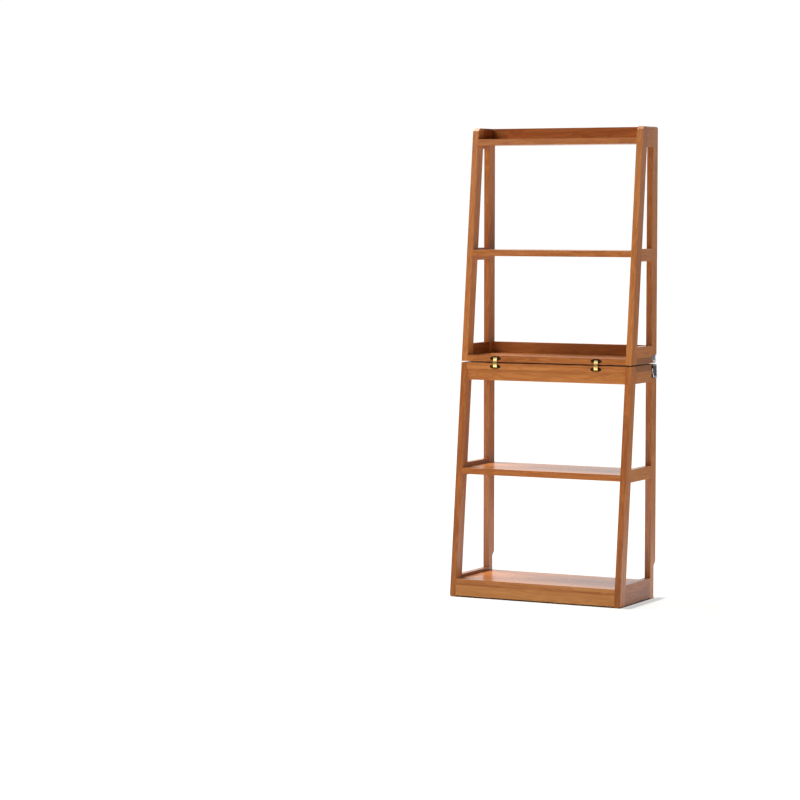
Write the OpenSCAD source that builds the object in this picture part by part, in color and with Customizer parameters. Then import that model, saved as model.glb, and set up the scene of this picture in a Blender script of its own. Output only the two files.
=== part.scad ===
// Folding display rack in oiled wood: a lower section with two open bays and an
// upper section with two open bays and a top tray, stacked and joined along the
// front edge by two concealed hinges. A draw latch on each side, at the rear
// corner, locks them upright. Unlatched, the upper section swings forward and
// down through 180 degrees and hangs front to front against the lower section.
// Millimetres. X is the width, Y runs from front to rear, Z is up.

/* [Overall] */
// Width over the side faces of the legs
frame_width = 600; // [570:5:640]
// Depth at the floor, over the legs
floor_depth = 286; // [278:1:292]
// Depth at the very top, over the legs
top_depth = 122; // [122:1:132]
// Height of the lower section
lower_height = 758; // [756:1:770]
// Height of the upper section
upper_height = 756; // [745:1:756]
// Gap between the two sections at the joint plane
joint_gap = 4; // [3.8:0.1:4.2]

/* [Stock] */
// Thickness of every board, rail and leg
stock = 20; // [19.5:0.1:20.5]
// Depth of a leg, front to rear
leg_depth = 40; // [39:0.5:41]
// Amount by which the recessed rails sit behind their neighbours
rail_recess = 3; // [2:0.5:4]
// Height of the low rails beside the tray and under the lower top board
low_rail = 36; // [32:1:38]
// Radius on the outer bottom corners of the front legs and on the outer top edges of the sides
foot_radius = 6; // [3:0.5:8]

/* [Skirting notch] */
// Depth of the notch at the foot of the rear legs
notch_depth = 14; // [10:1:16]
// Height of the straight part of the notch
notch_height = 105; // [80:1:110]

/* [Shelves] */
// Height of the top face of the lower bottom shelf
shelf_bottom = 58; // [54:1:60]
// Height of the top face of the lower middle shelf
shelf_middle = 417; // [400:1:440]

/* [Hinges and latches] */
// Distance of each hinge from the middle of the rack
hinge_x = 178; // [150:1:200]
// Depth of the shallow mortise under each latch
mortise = 3.5; // [3:0.1:4]

/* [Hidden] */
$fn = 48;
W = frame_width;
T = stock;
LD = leg_depth;
H1 = lower_height;
Z2 = H1 + joint_gap;              // underside of the upper section
H = Z2 + upper_height;
zc = H1 + joint_gap / 2;          // height of the fold axis
k = (floor_depth - top_depth) / H;  // lean of the front faces
delta = atan(k);
function yf(z) = -floor_depth / 2 + k * z;  // front face plane
yr = floor_depth / 2;             // rear face plane
yl = yr - LD;                     // front face of the rear legs
yo = yf(zc) - joint_gap / 2 / cos(delta);   // fold axis
xi = W / 2 - T;                   // inner face of the legs
mirror_z = 2 * zc;                // where a height lands once folded
// shelves of the upper section line up with the lower ones when folded
um_lo = mirror_z - shelf_middle;  // underside of the upper middle shelf
ut_hi = mirror_z - (shelf_bottom - T);  // top face of the top shelf
mr_lo = shelf_middle - 26;        // lower middle side rails
mr_hi = shelf_middle + 14;
ur_lo = mirror_z - mr_hi;         // upper middle side rails
ur_hi = mirror_z - mr_lo;
br_hi = shelf_bottom + 10;        // bottom side rails
tr_lo = mirror_z - br_hi;         // top side rails
rr_lo = ut_hi - T;                // top rear rail, flush with the underside of the top shelf
br_lo = 4;
// latch
ly = yr - LD / 2;                 // middle of the latch
xm = W / 2 - mortise;             // floor of the mortise
lz = H1 - 3.5;                    // lever pin height
bz = lz - 9;                      // bail pivot height
// hinge, in the leaning frame: u into the board, v up the front face
pa = 3.9;
pb = 11;
lc = 13.2;                        // middle of a leaf above the joint

// ---- helpers -------------------------------------------------------------
module xprism(x0, x1, pts) translate([x0, 0, 0]) rotate([90, 0, 90]) linear_extrude(x1 - x0) polygon(pts);
module yprism(y0, y1) translate([0, y1, 0]) rotate([90, 0, 0]) linear_extrude(y1 - y0) children();
// board with its front edge in the leaning front plane
module board(x0, x1, z0, z1, y1, in = 0)
  xprism(x0, x1, [[yf(z0) + in, z0], [y1, z0], [y1, z1], [yf(z1) + in, z1]]);
module box(a, b) translate(a) cube([b[0] - a[0], b[1] - a[1], b[2] - a[2]]);
// one dowel or its bore: [direction, x, y, z, length]
module peg(d, r, e) translate([d[1], d[2], d[3]])
  rotate(d[0] == "x" ? [0, 90, 0] : d[0] == "y" ? [-90, 0, 0] : [0, 0, 0])
    translate([0, 0, -e]) cylinder(h = d[4] + 2 * e, r = r);
module pegs(list, r = 3.95, e = 0) for (d = list) peg(d, r, e);
module drilled(list) difference() { children(); pegs(list, 4, 0.5); }
module both() { children(); mirror([1, 0, 0]) children(); }
function rail_ends(z, y1) = [["y", W / 2 - T / 2, yf(z) + LD - 19, z, 38], ["y", W / 2 - T / 2, y1 - 19, z, 38]];
function flip(list) = [for (d = list) d[0] == "x" ? ["x", -d[1] - d[4], d[2], d[3], d[4]] : [d[0], -d[1], d[2], d[3], d[4]]];
// dowels of the right hand side; the left hand side is their mirror image
zt = H1 - T - low_rail + 8;       // dowels of the top rails, clear of the latch screws
lowR_top = rail_ends(zt, yl);
lowR_mid = rail_ends((mr_lo + mr_hi) / 2 + 8, yl);
lowR_bot = rail_ends((br_lo + br_hi) / 2, yl);
lowR_shelf = [["x", xi - 26, -20, shelf_middle - T / 2, 38], ["x", xi - 26, 50, shelf_middle - T / 2, 38]];
lowR_floor = [["x", xi - 26, -40, shelf_bottom - T / 2, 38], ["x", xi - 26, 40, shelf_bottom - T / 2, 38]];
lowR_plinth = [["x", xi - 26, yf(20) + T / 2, 20, 38]];
lowR_front = [["x", xi - 26, yf(zt) + rail_recess + T / 2, H1 - T - low_rail / 2, 38]];
lowR_rear = [["x", xi - 26, yr - rail_recess - T / 2, zt, 38]];
lowR_up = [["z", W / 2 - T / 2, 15, H1 - T - 22, 36], ["z", W / 2 - T / 2, 58, H1 - T - 22, 36]];
low_front_up = [["z", -90, yf(H1 - T) + rail_recess + T / 2, H1 - T - 22, 36], ["z", 90, yf(H1 - T) + rail_recess + T / 2, H1 - T - 22, 36]];
low_rear_up = [["z", -180, yr - rail_recess - T / 2, H1 - T - 22, 36], ["z", 180, yr - rail_recess - T / 2, H1 - T - 22, 36]];
lowR = concat(lowR_top, lowR_mid, lowR_bot, lowR_shelf, lowR_floor, lowR_plinth, lowR_front, lowR_rear, lowR_up);
zu = Z2 + T + low_rail / 2;       // dowels of the tray rails
uppR_tray = rail_ends(zu, yl);
uppR_mid = rail_ends((ur_lo + ur_hi) / 2 - 8, yl);
uppR_top = concat(rail_ends(tr_lo + 8, yl), rail_ends(H - 13, yl));
uppR_shelf = [["x", xi - 26, 40, um_lo + T / 2, 38], ["x", xi - 26, 72, um_lo + T / 2, 38]];
uppR_ceil = [["x", xi - 26, yf(ut_hi) + LD + 26, ut_hi - T / 2, 38]];
uppR_back = [["x", xi - 26, yr - T / 2, H - 28, 38]];
uppR_rear = [["x", xi - 26, yr - rail_recess - T / 2, zu, 38]];
uppR_up = [["z", W / 2 - T / 2, 17, Z2 + T - 14, 36], ["z", W / 2 - T / 2, 62, Z2 + T - 14, 36]];
upp_rear_up = [["z", -180, yr - rail_recess - T / 2, Z2 + T - 14, 36], ["z", 180, yr - rail_recess - T / 2, Z2 + T - 14, 36]];
upp_ceil_back = [["y", -150, yr - T - 26, ut_hi - T / 2, 38], ["y", 150, yr - T - 26, ut_hi - T / 2, 38]];
uppR = concat(uppR_tray, uppR_mid, uppR_top, uppR_shelf, uppR_ceil, uppR_back, uppR_rear, uppR_up);
// screws: [y, z] on the mortise floor
base_screws = [[ly, lz - 29.5], [ly, lz - 12.5]];
catch_screws = [[ly - 8, Z2 + 16], [ly + 8, Z2 + 16]];
module side_screws(list, r, head) for (s = list) translate([xm, s[0], s[1]]) rotate([0, 90, 0]) {
  translate([0, 0, -10]) cylinder(h = 11.4, r = r);
  if (head) cylinder(h = 1.4, r1 = r, r2 = 3.1);
}

// ---- legs ----------------------------------------------------------------
module front_leg_blank(x, z0, z1)
  xprism(x, x + T, [[yf(z0), z0], [yf(z0) + LD, z0], [yf(z1) + LD, z1], [yf(z1), z1]]);
module lower_front_leg(x, pegset) drilled(pegset) difference() {
  front_leg_blank(x, 0, H1);
  // rounded outer bottom corner
  translate([x > 0 ? x + T - foot_radius : x + foot_radius, yf(0) - 5, foot_radius]) difference() {
    translate([x > 0 ? 0 : -foot_radius - 5, 0, -foot_radius - 5]) cube([foot_radius + 5, LD + 20, foot_radius + 5]);
    rotate([-90, 0, 0]) translate([0, 0, -1]) cylinder(h = LD + 22, r = foot_radius);
  }
}
module lower_front_leg_left() color([.62, .38, .2]) lower_front_leg(-W / 2, flip(lowR));
module lower_front_leg_right() color([.62, .38, .2]) lower_front_leg(xi, lowR);
module latch_mortise(z0, z1) box([xm, yl, z0], [W / 2 + 5, yr + 5, z1]);
module lower_rear_leg_r() difference() {
  drilled(lowR) xprism(xi, W / 2, [[yl, 0], [yr - notch_depth, 0], [yr - notch_depth, notch_height],
    [yr, notch_height + notch_depth], [yr, H1 - T], [yl, H1 - T]]);
  latch_mortise(H1 - 43, H1 + 5);
  side_screws(base_screws, 1.65, false);
}
module lower_rear_leg_left() color([.6, .36, .19]) mirror([1, 0, 0]) lower_rear_leg_r();
module lower_rear_leg_right() color([.6, .36, .19]) lower_rear_leg_r();
// rounded outer top edge of the right hand side
module top_round() translate([W / 2 - foot_radius, -W / 2, H - foot_radius]) difference() {
  cube([foot_radius + 5, W, foot_radius + 5]);
  translate([0, -1, 0]) rotate([-90, 0, 0]) cylinder(h = W + 2, r = foot_radius);
}
module upper_front_leg(x, pegset) drilled(pegset) difference() {
  front_leg_blank(x, Z2, H);
  if (x > 0) top_round(); else mirror([1, 0, 0]) top_round();
  // sloping front of the leg top
  xprism(x - 1, x + T + 1, [[yf(H) - 5, H - 9], [yf(H) - 1, H - 9], [yf(H) + 12, H + 1], [yf(H) - 5, H + 1]]);
}
module upper_front_leg_left() color([.62, .38, .2]) upper_front_leg(-W / 2, flip(uppR));
module upper_front_leg_right() color([.62, .38, .2]) upper_front_leg(xi, uppR);
module upper_rear_leg_r() difference() {
  drilled(uppR) box([xi, yl, Z2 + T], [W / 2, yr, H]);
  latch_mortise(Z2 - 5, Z2 + 26);
  top_round();
}
module upper_rear_leg_left() color([.6, .36, .19]) mirror([1, 0, 0]) upper_rear_leg_r();
module upper_rear_leg_right() color([.6, .36, .19]) upper_rear_leg_r();

// ---- boards of the lower section -------------------------------------------
module leg_notches(z) both() box([xi, -W, z - 2 * T], [W, yf(z) + LD, z + 2 * T]);
module lower_top_board() color([.66, .41, .22]) difference() {
  drilled(concat(lowR_up, flip(lowR_up), low_front_up, low_rear_up)) board(-W / 2, W / 2, H1 - T, H1, yr);
  both() xprism(xi, W, [[yf(H1 - T) - 20, H1 - T - 5], [yf(H1 - T - 5) + LD, H1 - T - 5], [yf(H1 + 5) + LD, H1 + 5], [yf(H1) - 20, H1 + 5]]);
  both() latch_mortise(H1 - 43, H1 + 5);
  both() side_screws(base_screws, 1.65, false);
  both() hinge_at() { hinge_pocket(-1); leaf_screws(-1, 1.35, false); }
}
module lower_middle_shelf() color([.66, .41, .22]) drilled(concat(lowR_shelf, flip(lowR_shelf)))
  board(-xi, xi, shelf_middle - T, shelf_middle, yr - 2);
module lower_bottom_shelf() color([.66, .41, .22]) drilled(concat(lowR_floor, flip(lowR_floor)))
  board(-xi, xi, shelf_bottom - T, shelf_bottom, yr - notch_depth - 2);
module lower_plinth_rail() color([.64, .4, .21]) drilled(concat(lowR_plinth, flip(lowR_plinth)))
  xprism(-xi, xi, [[yf(br_lo), br_lo], [yf(br_lo) + T, br_lo], [yf(shelf_bottom - T) + T, shelf_bottom - T], [yf(shelf_bottom - T), shelf_bottom - T]]);
module lower_top_front_rail() color([.64, .4, .21]) drilled(concat(lowR_front, flip(lowR_front), low_front_up))
  xprism(-xi, xi, [[yf(H1 - T - low_rail) + rail_recess, H1 - T - low_rail], [yf(H1 - T - low_rail) + rail_recess + T, H1 - T - low_rail],
    [yf(H1 - T) + rail_recess + T, H1 - T], [yf(H1 - T) + rail_recess, H1 - T]]);
module lower_top_rear_rail() color([.62, .38, .2]) drilled(concat(lowR_rear, flip(lowR_rear), low_rear_up))
  box([-xi, yr - rail_recess - T, H1 - T - low_rail], [xi, yr - rail_recess, H1 - T]);
// side rail between a front leg and a rear leg
module side_rail_r(z0, z1, pegset) drilled(pegset)
  xprism(xi, W / 2, [[yf(z0) + LD, z0], [yl, z0], [yl, z1], [yf(z1) + LD, z1]]);
module lower_top_side_rail_left() color([.58, .36, .2]) mirror([1, 0, 0]) side_rail_r(H1 - T - low_rail, H1 - T, concat(lowR_top, lowR_up));
module lower_top_side_rail_right() color([.58, .36, .2]) side_rail_r(H1 - T - low_rail, H1 - T, concat(lowR_top, lowR_up));
module lower_middle_side_rail_left() color([.58, .36, .2]) mirror([1, 0, 0]) side_rail_r(mr_lo, mr_hi, concat(lowR_mid, lowR_shelf));
module lower_middle_side_rail_right() color([.58, .36, .2]) side_rail_r(mr_lo, mr_hi, concat(lowR_mid, lowR_shelf));
module lower_bottom_side_rail_left() color([.58, .36, .2]) mirror([1, 0, 0]) side_rail_r(br_lo, br_hi, concat(lowR_bot, lowR_floor));
module lower_bottom_side_rail_right() color([.58, .36, .2]) side_rail_r(br_lo, br_hi, concat(lowR_bot, lowR_floor));
module lower_dowels() color([.8, .65, .42]) { both() pegs(lowR); pegs(low_front_up); pegs(low_rear_up); }

// ---- boards of the upper section -------------------------------------------
module upper_bottom_board() color([.66, .41, .22]) difference() {
  drilled(concat(uppR_up, flip(uppR_up), upp_rear_up)) board(-W / 2, W / 2, Z2, Z2 + T, yr);
  both() xprism(xi, W, [[yf(Z2) - 20, Z2 - 5], [yf(Z2 - 5) + LD, Z2 - 5], [yf(Z2 + T + 5) + LD, Z2 + T + 5], [yf(Z2) - 20, Z2 + T + 5]]);
  both() latch_mortise(Z2 - 5, Z2 + 26);
  both() side_screws(catch_screws, 1.65, false);
  both() hinge_at() { hinge_pocket(1); leaf_screws(1, 1.35, false); }
}
module upper_middle_shelf() color([.66, .41, .22]) drilled(concat(uppR_shelf, flip(uppR_shelf)))
  board(-xi, xi, um_lo, um_lo + T, yr);
module upper_top_shelf() color([.66, .41, .22]) drilled(concat(uppR_ceil, flip(uppR_ceil), upp_ceil_back))
  board(-xi, xi, ut_hi - T, ut_hi, yr - T);
module upper_tray_side_rail_left() color([.58, .36, .2]) mirror([1, 0, 0]) side_rail_r(Z2 + T, Z2 + T + low_rail, concat(uppR_tray, uppR_up));
module upper_tray_side_rail_right() color([.58, .36, .2]) side_rail_r(Z2 + T, Z2 + T + low_rail, concat(uppR_tray, uppR_up));
module upper_tray_rear_rail() color([.62, .38, .2]) drilled(concat(uppR_rear, flip(uppR_rear), upp_rear_up))
  box([-xi, yr - rail_recess - T, Z2 + T], [xi, yr - rail_recess, Z2 + T + low_rail]);
module upper_middle_side_rail_left() color([.58, .36, .2]) mirror([1, 0, 0]) side_rail_r(ur_lo, ur_hi, concat(uppR_mid, uppR_shelf));
module upper_middle_side_rail_right() color([.58, .36, .2]) side_rail_r(ur_lo, ur_hi, concat(uppR_mid, uppR_shelf));
module upper_top_side_rail_r() difference() { side_rail_r(tr_lo, H, concat(uppR_top, uppR_ceil)); top_round(); }
module upper_top_side_rail_left() color([.58, .36, .2]) mirror([1, 0, 0]) upper_top_side_rail_r();
module upper_top_side_rail_right() color([.58, .36, .2]) upper_top_side_rail_r();
module upper_top_rear_rail() color([.62, .38, .2]) drilled(concat(uppR_back, flip(uppR_back), upp_ceil_back))
  box([-xi, yr - T, rr_lo], [xi, yr, H]);
module upper_dowels() color([.8, .65, .42]) { both() pegs(uppR); pegs(upp_rear_up); pegs(upp_ceil_back); }

// ---- concealed hinges --------------------------------------------------------
module hinge_at() translate([hinge_x, yo, zc]) rotate([-delta, 0, 0]) children();
// outline of a leaf's face plate: a block with a rounded ear for a screw at each end
module leaf_face(e) {
  square([25 + 2 * e, 13.2 + 2 * e], center = true);
  square([29.6, 8.8 + 2 * e], center = true);
  for (s = [-1, 1]) translate([14.8 * s, 0]) circle(4.4 + e);
}
module leaf_plate(s, u0, u1, e) translate([0, u0, s * lc]) rotate([-90, 0, 0]) linear_extrude(u1 - u0) leaf_face(e);
// prism across the hinge: pts are [u, v] of the upper leaf
module leaf_prism(s, x0, x1, pts) translate([x0, 0, 0]) rotate([90, 0, 90]) linear_extrude(x1 - x0) polygon([for (p = pts) [p[0], s * p[1]]]);
module leaf_box(s, e) leaf_prism(s, -12.5 - e, 12.5 + e, [[2.3, 6.6 - e], [2.3, 19.8 + e], [14, 19.8 + e], [23.9 + e, 19 + e], [23.9 + e, 8.2 - e], [9, 6.6 - e]]);
module leaf_slot(s) leaf_prism(s, -6.8, 6.8, [[-3, 7.1], [8.3, 7.1], [9.5, 8.7], [23.2, 8.7], [23.2, 17.9], [18.3, 19.1], [14.3, 19.4], [-3, 19.4]]);
module hinge_pocket(s) { leaf_plate(s, -3, 5.05, 0.05); leaf_box(s, 0.05); leaf_slot(s); }
// one wood screw in each ear of a leaf
module leaf_screws(s, r, head) for (x = [-14.8, 14.8]) translate([x, 2.4, s * lc]) rotate([-90, 0, 0]) {
  translate([0, 0, head ? 0.6 : 0]) cylinder(h = head ? 22 : 22.7, r = r);
  if (head) cylinder(h = 1.6, r1 = 2.9, r2 = r);
}
module leaf(s) difference() {
  union() { leaf_plate(s, 2.3, 5, 0); leaf_box(s, 0); }
  leaf_slot(s);
  for (x = [-14.8, 14.8]) translate([x, 0, s * lc]) rotate([-90, 0, 0]) { cylinder(h = 30, r = 1.35); cylinder(h = 2.45, r = 2.95); translate([0, 0, 2.4]) cylinder(h = 1.6, r1 = 2.95, r2 = 1.35); }
  translate([s > 0 ? -12 : 0, pa, s * pb]) rotate([0, 90, 0]) cylinder(h = 12, r = 1.1);
}
link_half = [[1.6, 8.5], [2.2, 9.1], [5.1, 9.1], [5.8, 9.8], [5.8, 12.2], [5.1, 14.5], [3.5, 15.5], [0, 15.5], [-2, 14]];
module link_outline() polygon(concat(link_half, [for (i = [len(link_half) - 1:-1:0]) [link_half[i][0], -link_half[i][1]]]));
// the links pinned in the lower leaf sit on the right of each hinge, the others on the left; their outer face is one long arc
module link(s) difference() {
  intersection() {
    translate([s > 0 ? -6.45 : 0.25, 0, 0]) rotate([90, 0, 90]) linear_extrude(6.2) link_outline();
    translate([-20, 42.2, 0]) rotate([0, 90, 0]) cylinder(h = 40, r = 44);
  }
  translate([-20, pa, s * pb]) rotate([0, 90, 0]) cylinder(h = 40, r = 1.1);
}
module hinge_pin(s) translate([s > 0 ? -11.8 : 0.35, pa, s * pb]) rotate([0, 90, 0]) cylinder(h = 11.45, r = 1.05);
module at_both_hinges() both() hinge_at() children();
module hinge_leaves_lower() color([.16, .12, .09]) at_both_hinges() leaf(-1);
module hinge_leaves_upper() color([.16, .12, .09]) at_both_hinges() leaf(1);
module hinge_links_lower() color([.8, .6, .25]) at_both_hinges() link(-1);
module hinge_links_upper() color([.8, .6, .25]) at_both_hinges() link(1);
module hinge_pins_lower() color([.7, .7, .7]) at_both_hinges() hinge_pin(-1);
module hinge_pins_upper() color([.7, .7, .7]) at_both_hinges() hinge_pin(1);
module hinge_screws_lower() color([.3, .25, .2]) at_both_hinges() leaf_screws(-1, 1.3, true);
module hinge_screws_upper() color([.3, .25, .2]) at_both_hinges() leaf_screws(1, 1.3, true);

// ---- draw latches --------------------------------------------------------------
module latch_base_r() difference() {
  union() {
    box([xm, ly - 15, H1 - 42], [xm + 1.5, ly + 15, H1 - 0.6]);
    for (s = [-1, 1]) translate([0, ly + s * 14.3, 0]) yprism(-0.7, 0.7)
      polygon([[xm + 1, lz - 6], [xm + 3, lz - 5], [xm + 5.6, lz - 2], [xm + 6.3, lz], [xm + 5.6, lz + 2.2], [xm + 4.4, lz + 2.9], [xm + 1, lz + 2.9]]);
  }
  translate([xm + 4.1, ly, lz]) rotate([90, 0, 0]) translate([0, 0, -20]) cylinder(h = 40, r = 1.0);
  for (s = base_screws) translate([xm, s[0], s[1]]) rotate([0, 90, 0]) { translate([0, 0, -1]) cylinder(h = 5, r = 1.65); cylinder(h = 1.5, r1 = 1.65, r2 = 3.2); }
}
module latch_lever_r() difference() {
  union() {
    yprism(ly - 13.3, ly + 13.3) {
      translate([xm + 4.1, lz]) circle(2.2);
      polygon([[xm + 4.1, lz + 2.15], [xm + 5.6, lz + 1.5], [xm + 6.6, lz + 0.1], [xm + 7, lz - 2], [xm + 7, lz - 37.5], [xm + 8.8, lz - 41],
        [xm + 7.7, lz - 41.4], [xm + 5.5, lz - 37.5], [xm + 5.5, lz - 3], [xm + 4.1, lz - 2.1]]);
    }
    for (s = [-1, 1]) translate([0, ly + s * 11.9, 0]) yprism(-1.4, 1.4) {
      translate([xm + 3.8, bz]) circle(1.9);
      polygon([[xm + 3.8, bz - 1.9], [xm + 5.7, bz - 2.6], [xm + 5.7, bz + 2.6], [xm + 3.8, bz + 1.9]]);
    }
  }
  translate([xm + 4.1, ly, lz]) rotate([90, 0, 0]) translate([0, 0, -20]) cylinder(h = 40, r = 1.08);
  translate([xm + 3.8, ly, bz]) rotate([90, 0, 0]) translate([0, 0, -20]) cylinder(h = 40, r = 1.0);
}
module rod(a, b, r) {
  d = b - a;
  translate(a) rotate([0, atan2(sqrt(d[0] * d[0] + d[1] * d[1]), d[2]), atan2(d[1], d[0])]) cylinder(h = norm(d), r = r);
}
module latch_bail_r() {
  p = [xm + 3.8, bz];
  c = [xm + 8.05, bz - 26.66];
  for (s = [-1, 1]) {
    translate([p[0], ly + s * 13.85 , p[1]]) rotate([90, 0, 0]) cylinder(h = 4.7, r = 0.9, center = true);
    translate([p[0], ly + s * 16.2, p[1]]) sphere(r = 1);
    rod([p[0], ly + s * 16.2, p[1]], [c[0], ly + s * 16.2, c[1]], 0.9);
    translate([c[0], ly + s * 16.2, c[1]]) sphere(r = 1);
  }
  rod([c[0], ly - 16.2, c[1]], [c[0], ly + 16.2, c[1]], 0.9);
}
module latch_catch_r() difference() {
  yprism(ly - 14, ly + 14) polygon([[xm, Z2 + 4.6], [xm + 2.2, Z2 + 4.6], [xm + 5.6, Z2 + 7.6], [xm + 5.6, Z2 + 9.2], [xm + 4.9, Z2 + 9.2], [xm + 1.5, Z2 + 8.8],
    [xm + 1.5, Z2 + 24.5], [xm + 1.1, Z2 + 25.2], [xm, Z2 + 25.2]]);
  for (s = catch_screws) translate([xm, s[0], s[1]]) rotate([0, 90, 0]) { translate([0, 0, -1]) cylinder(h = 8, r = 1.65); cylinder(h = 1.5, r1 = 1.65, r2 = 3.2); }
}
module latch_base_left() color([.8, .8, .82]) mirror([1, 0, 0]) latch_base_r();
module latch_base_right() color([.8, .8, .82]) latch_base_r();
module latch_lever_left() color([.85, .85, .87]) mirror([1, 0, 0]) latch_lever_r();
module latch_lever_right() color([.85, .85, .87]) latch_lever_r();
module latch_bail_left() color([.75, .75, .78]) mirror([1, 0, 0]) latch_bail_r();
module latch_bail_right() color([.75, .75, .78]) latch_bail_r();
module latch_catch_left() color([.8, .8, .82]) mirror([1, 0, 0]) latch_catch_r();
module latch_catch_right() color([.8, .8, .82]) latch_catch_r();
module latch_pins() color([.7, .7, .72]) both() translate([xm + 4.1, ly, lz]) rotate([90, 0, 0]) cylinder(h = 30, r = 1.0, center = true);
module latch_screws_lower() color([.7, .7, .72]) both() side_screws(base_screws, 1.6, true);
module latch_screws_upper() color([.7, .7, .72]) both() side_screws(catch_screws, 1.6, true);

lower_front_leg_left();
lower_front_leg_right();
lower_rear_leg_left();
lower_rear_leg_right();
lower_top_board();
lower_middle_shelf();
lower_bottom_shelf();
lower_plinth_rail();
lower_top_front_rail();
lower_top_rear_rail();
lower_top_side_rail_left();
lower_top_side_rail_right();
lower_middle_side_rail_left();
lower_middle_side_rail_right();
lower_bottom_side_rail_left();
lower_bottom_side_rail_right();
lower_dowels();
upper_front_leg_left();
upper_front_leg_right();
upper_rear_leg_left();
upper_rear_leg_right();
upper_bottom_board();
upper_middle_shelf();
upper_top_shelf();
upper_tray_side_rail_left();
upper_tray_side_rail_right();
upper_tray_rear_rail();
upper_middle_side_rail_left();
upper_middle_side_rail_right();
upper_top_side_rail_left();
upper_top_side_rail_right();
upper_top_rear_rail();
upper_dowels();
hinge_leaves_lower();
hinge_leaves_upper();
hinge_links_lower();
hinge_links_upper();
hinge_pins_lower();
hinge_pins_upper();
hinge_screws_lower();
hinge_screws_upper();
latch_base_left();
latch_base_right();
latch_lever_left();
latch_lever_right();
latch_bail_left();
latch_bail_right();
latch_catch_left();
latch_catch_right();
latch_pins();
latch_screws_lower();
latch_screws_upper();
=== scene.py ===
import math

import bpy
from mathutils import Matrix, Vector

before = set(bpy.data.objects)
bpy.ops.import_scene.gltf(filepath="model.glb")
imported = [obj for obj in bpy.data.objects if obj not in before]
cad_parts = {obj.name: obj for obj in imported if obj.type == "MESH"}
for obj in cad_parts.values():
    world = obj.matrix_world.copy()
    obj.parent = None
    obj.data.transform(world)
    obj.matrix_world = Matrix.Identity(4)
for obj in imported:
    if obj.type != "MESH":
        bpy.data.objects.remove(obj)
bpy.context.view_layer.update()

LEAN = math.atan((0.286 - 0.122) / 1.518)     # lean of the front legs
FLOOR_NEAR, FLOOR_FAR, FLOOR_RIGHT, WORLD_FRONT, WORLD_BACK, TOP_LIGHT, KEY_LIGHT, FILL_LIGHT, GLINT, BOUNCE = 0.94, 1.00, 0.12, 0.08, 1.03, 1080.0, 30.0, 66.0, 30.0, 50.0


# ---- material helpers --------------------------------------------------------
class Tree:
    """A new material with short calls for making and joining its nodes."""

    def __init__(self, name):
        self.mat = bpy.data.materials.new(name)
        self.mat.use_nodes = True
        self.nt = self.mat.node_tree
        self.nt.nodes.clear()
        self.out = self.nt.nodes.new("ShaderNodeOutputMaterial")
        self.bsdf = self.nt.nodes.new("ShaderNodeBsdfPrincipled")
        self.join(self.bsdf.outputs[0], self.out.inputs["Surface"])

    def join(self, a, b):
        self.nt.links.new(a, b)

    def node(self, kind, **inputs):
        n = self.nt.nodes.new(kind)
        for k, v in inputs.items():
            self.put(n.inputs[k.replace("_", " ")], v)
        return n

    def put(self, socket, v):
        if isinstance(v, bpy.types.NodeSocket):
            self.join(v, socket)
        else:
            socket.default_value = v

    def maths(self, op, a, b=None, c=None, clamp=False):
        n = self.nt.nodes.new("ShaderNodeMath")
        n.operation = op
        n.use_clamp = clamp
        for i, v in enumerate((a, b, c)):
            if v is not None:
                self.put(n.inputs[i], v)
        return n.outputs[0]

    def vmaths(self, op, a, b=None):
        n = self.nt.nodes.new("ShaderNodeVectorMath")
        n.operation = op
        self.put(n.inputs[0], a)
        if b is not None:
            self.put(n.inputs[1], b)
        return n.outputs[0]

    def noise(self, vector, scale, detail=4.0, rough=0.5, distortion=0.0):
        n = self.nt.nodes.new("ShaderNodeTexNoise")
        self.put(n.inputs["Vector"], vector)
        n.inputs["Scale"].default_value = scale
        n.inputs["Detail"].default_value = detail
        n.inputs["Roughness"].default_value = rough
        n.inputs["Distortion"].default_value = distortion
        return n.outputs["Fac"]

    def ramp(self, fac, stops):
        n = self.nt.nodes.new("ShaderNodeValToRGB")
        self.put(n.inputs[0], fac)
        el = n.color_ramp.elements
        while len(el) < len(stops):
            el.new(0.5)
        for e, (p, c) in zip(el, stops):
            e.position = p
            e.color = (*c, 1.0) if len(c) == 3 else c
        return n.outputs[0]

    def remap(self, v, a, b, c, d):
        n = self.nt.nodes.new("ShaderNodeMapRange")
        self.put(n.inputs["Value"], v)
        for k, x in zip(("From Min", "From Max", "To Min", "To Max"), (a, b, c, d)):
            n.inputs[k].default_value = x
        return n.outputs[0]

    def mix(self, fac, a, b, kind="MIX"):
        n = self.nt.nodes.new("ShaderNodeMix")
        n.data_type = "RGBA"
        n.blend_type = kind
        self.put(n.inputs[0], fac)
        for i, v in ((6, a), (7, b)):
            self.put(n.inputs[i], v if isinstance(v, bpy.types.NodeSocket) else (*v, 1.0) if len(v) == 3 else v)
        return n.outputs[2]

    def bump(self, height, strength, distance):
        n = self.nt.nodes.new("ShaderNodeBump")
        n.inputs["Strength"].default_value = strength
        n.inputs["Distance"].default_value = distance
        self.put(n.inputs["Height"], height)
        self.join(n.outputs[0], self.bsdf.inputs["Normal"])


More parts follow.
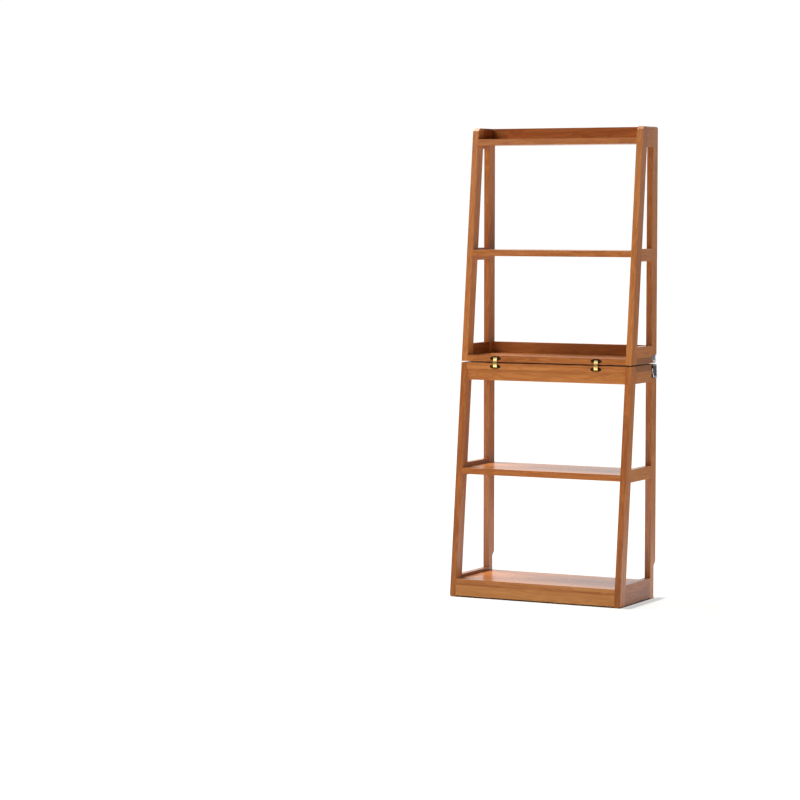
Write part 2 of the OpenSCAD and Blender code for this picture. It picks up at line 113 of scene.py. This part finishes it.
def wood(name, along, seed, stave=0.030, tone=0.0, figure=1.0, front=0.0, painted_shade=0.0):
    """Lacquered orange-brown wood. along: rotation that turns the grain's direction to X. stave: width of the glued
    strips.
    front: painted light and shade on the front and rear faces, lighter or darker to stand in for how light falls on
    them. The last argument: share of a dark red-brown, painted as shade on rails that sit in shade."""
    t = Tree(name)
    tc = t.nt.nodes.new("ShaderNodeTexCoord")
    place = t.node("ShaderNodeMapping", Vector=tc.outputs["Object"])
    place.inputs["Rotation"].default_value = along
    place.inputs["Location"].default_value = (seed * 1.37, seed * 0.631, seed * 0.277)
    p = place.outputs[0]
    sep = t.node("ShaderNodeSeparateXYZ", Vector=p)
    x, y, z = sep.outputs
    # glued strips: each one gets its own tone and its own piece of grain
    iy = t.maths("FLOOR", t.maths("DIVIDE", y, stave))
    iz = t.maths("FLOOR", t.maths("DIVIDE", z, stave * 1.9))
    cell = t.node("ShaderNodeCombineXYZ", X=iy, Y=iz, Z=seed)
    wn = t.nt.nodes.new("ShaderNodeTexWhiteNoise")
    wn.noise_dimensions = "3D"
    t.join(cell.outputs[0], wn.inputs["Vector"])
    own = wn.outputs["Value"]
    shift = t.vmaths("SCALE", wn.outputs["Color"])
    shift.node.inputs["Scale"].default_value = 3.0
    q = t.vmaths("ADD", p, shift)
    # broad figure: long slow bands that wander across the strip
    stretch = t.vmaths("MULTIPLY", q, (1.0, 11.0, 11.0))
    broad = t.noise(stretch, 3.2, 3.0, 0.55, 0.6)
    bands = t.maths("ADD", t.maths("MULTIPLY", broad, 9.0), t.maths("MULTIPLY", t.noise(t.vmaths("MULTIPLY", q, (1.0, 30.0, 30.0)), 4.0, 3.0, 0.5), 1.5))
    ring = t.maths("MULTIPLY_ADD", t.maths("SINE", t.maths("MULTIPLY", bands, 6.2832)), 0.5, 0.5)
    # fine fibres along the grain
    fibre = t.noise(t.vmaths("MULTIPLY", q, (1.0, 46.0, 46.0)), 22.0, 5.0, 0.62)
    pores = t.noise(t.vmaths("MULTIPLY", q, (1.0, 26.0, 26.0)), 60.0, 2.0, 0.5)
    pore = t.remap(pores, 0.62, 0.74, 0.0, 1.0)
    slow = t.noise(q, 2.1, 2.0, 0.5)
    v = t.maths("ADD", t.maths("MULTIPLY", ring, 0.13 * figure), t.maths("MULTIPLY", fibre, 0.42))
    v = t.maths("ADD", v, t.maths("MULTIPLY", broad, 0.30))
    v = t.maths("ADD", v, t.maths("MULTIPLY_ADD", own, 0.15, -0.075))
    v = t.maths("ADD", v, t.maths("MULTIPLY_ADD", slow, 0.16, -0.08 + 0.075 + tone))
    # painted light and shade: faces that point to the front or rear are made lighter or darker
    ny = t.node("ShaderNodeSeparateXYZ", Vector=tc.outputs["Normal"]).outputs[1]
    v = t.maths("ADD", v, t.remap(t.maths("ABSOLUTE", ny), 0.70, 0.90, 0.0, front))
    col = t.ramp(v, [(0.18, (0.190, 0.048, 0.010)), (0.38, (0.320, 0.098, 0.022)), (0.56, (0.430, 0.155, 0.040)), (0.80, (0.560, 0.240, 0.072))])
    col = t.mix(t.maths("MULTIPLY", pore, 0.18), col, (0.13, 0.036, 0.010))
    # painted shade: a dark red-brown mixed into rails that sit in shade
    if painted_shade:
        col = t.mix(painted_shade, col, (0.075, 0.018, 0.006))
    # end grain: darker, with the cut fibres showing as fine dots
    ends = t.node("ShaderNodeMapping", Vector=tc.outputs["Normal"])
    ends.vector_type = "NORMAL"
    ends.inputs["Rotation"].default_value = along
    nx = t.node("ShaderNodeSeparateXYZ", Vector=ends.outputs[0]).outputs[0]
    end = t.remap(t.maths("ABSOLUTE", nx), 0.80, 0.95, 0.0, 1.0)
    sloped = t.remap(t.maths("ABSOLUTE", nx), 0.55, 0.70, 0.0, 1.0)
    dots = t.noise(p, 900.0, 3.0, 0.6)
    rays = t.noise(t.vmaths("MULTIPLY", q, (1.0, 1.0, 14.0)), 60.0, 3.0, 0.5)
    dark = t.ramp(t.maths("ADD", t.maths("MULTIPLY", dots, 0.5), t.maths("MULTIPLY", rays, 0.5)), [(0.30, (0.150, 0.048, 0.016)), (0.70, (0.335, 0.135, 0.046))])
    col = t.mix(end, col, dark)
    # the faces that meet at the joint between the sections get a duller, rougher lacquer, and their colour is darkened
    # as painted shade inside the gap between the sections
    height = t.node("ShaderNodeSeparateXYZ", Vector=tc.outputs["Object"]).outputs[2]
    dull_joint_and_gap_shade = t.remap(t.maths("ABSOLUTE", t.maths("SUBTRACT", height, 0.760)), 0.0023, 0.0028, 1.0, 0.0)
    col = t.mix(t.maths("MULTIPLY", dull_joint_and_gap_shade, 0.30), col, (0.095, 0.036, 0.014))
    t.join(col, t.bsdf.inputs["Base Color"])
    rough = t.maths("ADD", t.remap(fibre, 0.2, 0.8, 0.30, 0.20), t.maths("MULTIPLY", t.noise(q, 9.0, 3.0, 0.5), 0.06))
    t.join(t.maths("ADD", t.maths("ADD", rough, t.maths("MULTIPLY", dull_joint_and_gap_shade, 0.40)), t.maths("MULTIPLY", sloped, 0.20)), t.bsdf.inputs["Roughness"])
    t.bsdf.inputs["Specular IOR Level"].default_value = 0.40
    t.bsdf.inputs["Coat Weight"].default_value = 0.06
    t.bsdf.inputs["Coat Roughness"].default_value = 0.13
    t.bsdf.inputs["Coat IOR"].default_value = 1.5
    h = t.maths("ADD", t.maths("MULTIPLY", fibre, 0.6), t.maths("MULTIPLY", pore, -0.5))
    t.bump(h, 0.22, 0.00012)
    return t.mat


def beech(name):
    t = Tree(name)
    tc = t.nt.nodes.new("ShaderNodeTexCoord")
    n = t.noise(t.vmaths("MULTIPLY", tc.outputs["Object"], (60.0, 60.0, 60.0)), 18.0, 4.0, 0.6)
    t.join(t.ramp(n, [(0.3, (0.44, 0.26, 0.12)), (0.7, (0.62, 0.42, 0.22))]), t.bsdf.inputs["Base Color"])
    t.bsdf.inputs["Roughness"].default_value = 0.6
    t.bump(n, 0.3, 0.0002)
    return t.mat


def metal(name, dark, light, rough, scale=420.0, coat=0.0, metallic=1.0, scratch=0.25):
    """Cast or pressed metal: fine scratches, a little tarnish, uneven polish."""
    t = Tree(name)
    tc = t.nt.nodes.new("ShaderNodeTexCoord")
    p = tc.outputs["Object"]
    fine = t.noise(t.vmaths("MULTIPLY", p, (1.0, 6.0, 1.0)), scale, 4.0, 0.6)
    patch = t.noise(p, scale * 0.25, 3.0, 0.5)
    v = t.maths("ADD", t.maths("MULTIPLY", fine, scratch), t.maths("MULTIPLY", patch, 1.0 - scratch))
    t.join(t.ramp(v, [(0.30, dark), (0.62, light)]), t.bsdf.inputs["Base Color"])
    t.bsdf.inputs["Metallic"].default_value = metallic
    t.join(t.remap(v, 0.3, 0.7, rough * 1.35, rough * 0.8), t.bsdf.inputs["Roughness"])
    t.bsdf.inputs["Coat Weight"].default_value = coat
    t.bsdf.inputs["Coat Roughness"].default_value = 0.1
    t.bump(fine, 0.15, 0.00006)
    return t.mat


# ---- wood nodes ----------------------------------------------------------------
ALONG_X = (0.0, 0.0, 0.0)
ALONG_Y = (0.0, 0.0, -math.pi / 2)
ALONG_Z = (0.0, math.pi / 2, 0.0)
ALONG_LEG = (LEAN, math.pi / 2, 0.0)


def grain_of(name):
    if "front_leg" in name:
        return ALONG_LEG
    if "rear_leg" in name:
        return ALONG_Z
    if "side_rail" in name:
        return ALONG_Y
    return ALONG_X


def round_edges(o, width, segments=2, angle=32):
    m = o.modifiers.new("round_edges", "BEVEL")
    m.width = width
    m.segments = segments
    m.limit_method = "ANGLE"
    m.angle_limit = math.radians(angle)
    m.use_clamp_overlap = False
    m.harden_normals = False
    m.miter_outer = "MITER_SHARP"
    return m


def dress(name, mat):
    o = bpy.data.objects[name]
    o.data.materials.clear()
    o.data.materials.append(mat)
    return o


# parts made lighter or darker than the rest: the plinth, shelves and top front rail by their own wood tone, the other
# legs and rails as painted light and shade, darker where they sit in shade and lighter where they are lit too little
TONE_AND_PAINTED_SHADE = {"lower_front_leg_left": -0.06, "upper_front_leg_left": -0.03, "upper_tray_side_rail_left": -0.24, "upper_top_side_rail_left": -0.10,
         "upper_tray_rear_rail": 0.07, "upper_top_rear_rail": -0.06, "lower_plinth_rail": 0.09, "lower_bottom_side_rail_left": -0.25, "lower_middle_side_rail_left": -0.10, "lower_top_front_rail": 0.03,
         "upper_middle_shelf": -0.03, "lower_rear_leg_right": -0.02, "upper_rear_leg_right": -0.02, "lower_bottom_side_rail_right": -0.32, "lower_rear_leg_left": 0.05, "upper_rear_leg_left": 0.05}
# painted light and shade on the front and rear faces of these parts
FRONT_FACE_PAINTED_LIGHT = {"lower_rear_leg_right": -0.13, "upper_rear_leg_right": -0.12, "lower_rear_leg_left": -0.12, "upper_rear_leg_left": -0.12,
          "lower_front_leg_right": -0.11, "upper_front_leg_right": 0.07, "lower_front_leg_left": -0.08, "upper_front_leg_left": -0.06,
          "upper_middle_shelf": -0.07, "lower_middle_shelf": -0.03, "upper_bottom_board": -0.03, "lower_bottom_shelf": 0.07}
# painted shade: share of a dark red-brown on the rails that sit in shade inside the bays
PAINTED_SHADE_SHARE = {"lower_bottom_side_rail_left": 0.40, "lower_middle_side_rail_left": 0.35, "upper_tray_side_rail_left": 0.20}
nodes = sorted(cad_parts)
wooden = [n for n in nodes if (n.startswith("lower_") or n.startswith("upper_")) and "dowels" not in n]
for i, n in enumerate(wooden):
    stave = 0.034 if ("board" in n or "shelf" in n) else 0.5
    # tone: small random variation, boards and shelves a little darker, plus the wood tone and painted light and shade
    # from the table above
    tone = 0.012 * math.sin(i * 2.4) + (-0.015 if "board" in n or "shelf" in n else 0.02) + TONE_AND_PAINTED_SHADE.get(n, 0.0)
    o = dress(n, wood("wood_" + n, grain_of(n), 1.7 + 3.31 * i, stave, tone, 1.0, FRONT_FACE_PAINTED_LIGHT.get(n, 0.0), PAINTED_SHADE_SHARE.get(n, 0.0)))
    round_edges(o, 0.0016 if "board" in n or "shelf" in n else 0.0008 if "leg" in n else 0.0011, 3)

beech_mat = beech("dowel_beech")
brass = metal("brass_satin", (0.72, 0.47, 0.15), (0.90, 0.66, 0.27), 0.26, scale=160.0, scratch=0.15)
# near-black metal on the hinge leaves and screws: painted shade of the recesses the hinges sit in
shaded_bronze = metal("bronze_painted_shade", (0.016, 0.011, 0.006), (0.050, 0.034, 0.018), 0.42, coat=0.15)
chrome = metal("chrome_bright", (0.62, 0.62, 0.64), (0.86, 0.86, 0.88), 0.09, scratch=0.5)
# a darkened copy of the bright chrome for the latch base and lever: painted shade
shaded_chrome = metal("chrome_painted_shade", (0.16, 0.15, 0.15), (0.34, 0.33, 0.33), 0.20, scratch=0.5)
steel = metal("steel_pins", (0.42, 0.41, 0.40), (0.66, 0.65, 0.64), 0.30)
for n in nodes:
    if "dowels" in n:
        dress(n, beech_mat)
    elif n.startswith("hinge_leaves") or n.startswith("hinge_screws"):
        dress(n, shaded_bronze)
    elif n.startswith("hinge_links"):
        round_edges(dress(n, brass), 0.0009, 3)
    elif n.startswith("hinge_pins"):
        dress(n, steel)
    elif n.startswith("latch"):
        dress(n, shaded_chrome if n.startswith("latch_base") or n.startswith("latch_lever") else chrome)

# ---- stage ---------------------------------------------------------------------
def plain(name, colour, rough, near, far):
    """Pale glowing floor that stays white around and behind the rack and dims far out to the right and on the camera's
    side. Its glow stops under the rack so the real shadow shows there, a painted shadow strip lies along the rack's
    right side, and its base colour is painted a little darker just right of the rack.
    """
    t = Tree(name)
    tc = t.nt.nodes.new("ShaderNodeTexCoord")
    o = tc.outputs["Object"]
    n = t.noise(o, 0.6, 2.0, 0.5)
    x, y, z = t.node("ShaderNodeSeparateXYZ", Vector=o).outputs
    depth = t.maths("ADD", t.maths("MULTIPLY", y, 0.88), t.maths("MULTIPLY", x, -0.47))
    right = t.maths("ADD", t.maths("MULTIPLY", x, 0.88), t.maths("MULTIPLY", y, 0.47))
    lit = t.remap(depth, -4.6, -3.6, 0.0, 1.0)
    side = t.remap(t.maths("SUBTRACT", right, t.maths("MULTIPLY", depth, 0.144)), 0.9, 1.9, 1.0, FLOOR_RIGHT)
    away = t.maths("SQRT", t.maths("ADD", t.maths("MULTIPLY", x, x), t.maths("MULTIPLY", y, y)))
    glow = t.remap(away, 0.55, 3.2, near, far)

    def beyond(dx, dy, reach):
        ax = t.maths("SUBTRACT", t.maths("ABSOLUTE", t.maths("SUBTRACT", x, dx)), 0.300)
        ay = t.maths("SUBTRACT", t.maths("ABSOLUTE", t.maths("SUBTRACT", y, dy)), 0.143)
        return t.remap(t.maths("MAXIMUM", ax, ay), 0.0, reach, 0.0, 1.0)

    # glow cut to nothing under the rack, where the real shadow shows, and cut to 60 % in a painted shadow strip along
    # the right side of the base
    clear = t.maths("MINIMUM", beyond(0.0, 0.0, 0.006), t.maths("MULTIPLY_ADD", beyond(0.030, 0.006, 0.012), 0.40, 0.60))
    c2 = tuple(c * 0.985 for c in colour)
    # painted shade: the floor's base colour made 10 % darker to the right of the rack
    right_painted_shade = t.remap(t.maths("SUBTRACT", right, t.maths("MULTIPLY", depth, 0.144)), 0.30, 0.70, 1.0, 0.90)
    base = t.mix(t.maths("MULTIPLY", lit, side), (0.20, 0.20, 0.20), t.mix(n, colour, c2))
    base = t.mix(right_painted_shade, (0.0, 0.0, 0.0), base)
    t.join(t.mix(beyond(0.0, 0.0, 0.012), (0.45, 0.44, 0.42), base), t.bsdf.inputs["Base Color"])
    t.bsdf.inputs["Roughness"].default_value = rough
    t.bsdf.inputs["Specular IOR Level"].default_value = 0.1
    t.bsdf.inputs["Emission Color"].default_value = (1.0, 0.99, 0.975, 1.0)
    t.join(t.maths("MULTIPLY", t.maths("MULTIPLY", lit, side), t.maths("MULTIPLY", glow, clear)), t.bsdf.inputs["Emission Strength"])
    return t.mat


me = bpy.data.meshes.new("floor")
R, N = 60.0, 64
ring_pts = [(R * math.cos(2 * math.pi * i / N), R * math.sin(2 * math.pi * i / N), -0.0002) for i in range(N)]
me.from_pydata(ring_pts, [], [tuple(range(N))])
floor = bpy.data.objects.new("floor", me)
bpy.context.collection.objects.link(floor)
me.materials.append(plain("floor_pale", (0.06, 0.06, 0.059), 0.7, FLOOR_NEAR, FLOOR_FAR))

# ---- light -----------------------------------------------------------------------
# a white room behind the rack and a dimmer one behind the camera
scene = bpy.context.scene
scene.view_settings.view_transform = "Standard"
world = bpy.data.worlds.new("studio")
scene.world = world
world.use_nodes = True
wt = world.node_tree
bg = wt.nodes["Background"]
wc = wt.nodes.new("ShaderNodeTexCoord")
dot = wt.nodes.new("ShaderNodeVectorMath")
dot.operation = "DOT_PRODUCT"
wt.links.new(wc.outputs["Generated"], dot.inputs[0])
dot.inputs[1].default_value = (-0.47, 0.88, 0.10)
fade = wt.nodes.new("ShaderNodeValToRGB")
fade.color_ramp.elements[0].position = 0.0
wt.links.new(dot.outputs["Value"], fade.inputs[0])
half = wt.nodes.new("ShaderNodeMath")
half.operation = "MULTIPLY_ADD"
half.inputs[1].default_value, half.inputs[2].default_value = 0.5, 0.5
wt.links.new(dot.outputs["Value"], half.inputs[0])
wt.links.new(half.outputs[0], fade.inputs[0])
el = fade.color_ramp.elements
el[0].position, el[0].color = 0.72, (WORLD_FRONT,) * 3 + (1.0,)
el[1].position, el[1].color = 0.922, (WORLD_BACK,) * 3 + (1.0,)
wt.links.new(fade.outputs[0], bg.inputs["Color"])
bg.inputs["Strength"].default_value = 1.0


def area(name, size, energy, place, at, colour=(1, 1, 1)):
    d = bpy.data.lights.new(name, "AREA")
    d.shape = "RECTANGLE"
    d.size, d.size_y = size
    d.energy = energy
    d.color = colour
    o = bpy.data.objects.new(name, d)
    o.location = place
    o.rotation_euler = (Vector(at) - Vector(place)).to_track_quat("-Z", "Y").to_euler()
    o.visible_camera = False
    bpy.context.collection.objects.link(o)
    return o


area("overhead", (4.2, 4.2), TOP_LIGHT, (-4.4, 0.20, 5.2), (0.0, 0.0, 0.0), (1.0, 0.985, 0.96))
area("fill", (2.0, 2.0), FILL_LIGHT, (3.5, -1.0, 0.45), (0.0, 0.0, 0.8), (1.0, 0.985, 0.96))
area("bounce", (4.0, 3.0), BOUNCE, (0.2, -2.0, 0.03), (0.2, -2.0, 1.0), (1.0, 0.985, 0.96))
area("glint", (1.2, 1.2), GLINT, (-1.68, -0.42, 4.38), (0.0, -0.14, 0.76), (1.0, 0.985, 0.96))
area("key", (1.6, 1.6), KEY_LIGHT, (-3.1, -4.6, 3.6), (0.0, 0.0, 0.7), (1.0, 0.985, 0.96))

# ---- camera ------------------------------------------------------------------------
yaw, pitch = math.radians(27.965), math.radians(-3.963)
cam_data = bpy.data.cameras.new("camera")
cam = bpy.data.objects.new("camera", cam_data)
bpy.context.collection.objects.link(cam)
cam_data.sensor_width = 36.0
cam_data.lens = 2800.42 / 800.0 * 36.0
cam_data.clip_start, cam_data.clip_end = 0.1, 400.0
cam.location = (3.79375, -8.34221 + 0.143, 1.26508)
forward = Vector((-math.sin(yaw) * math.cos(pitch), math.cos(yaw) * math.cos(pitch), math.sin(pitch)))
cam.rotation_mode = "QUATERNION"
cam.rotation_quaternion = forward.to_track_quat("-Z", "Y")
scene.camera = cam
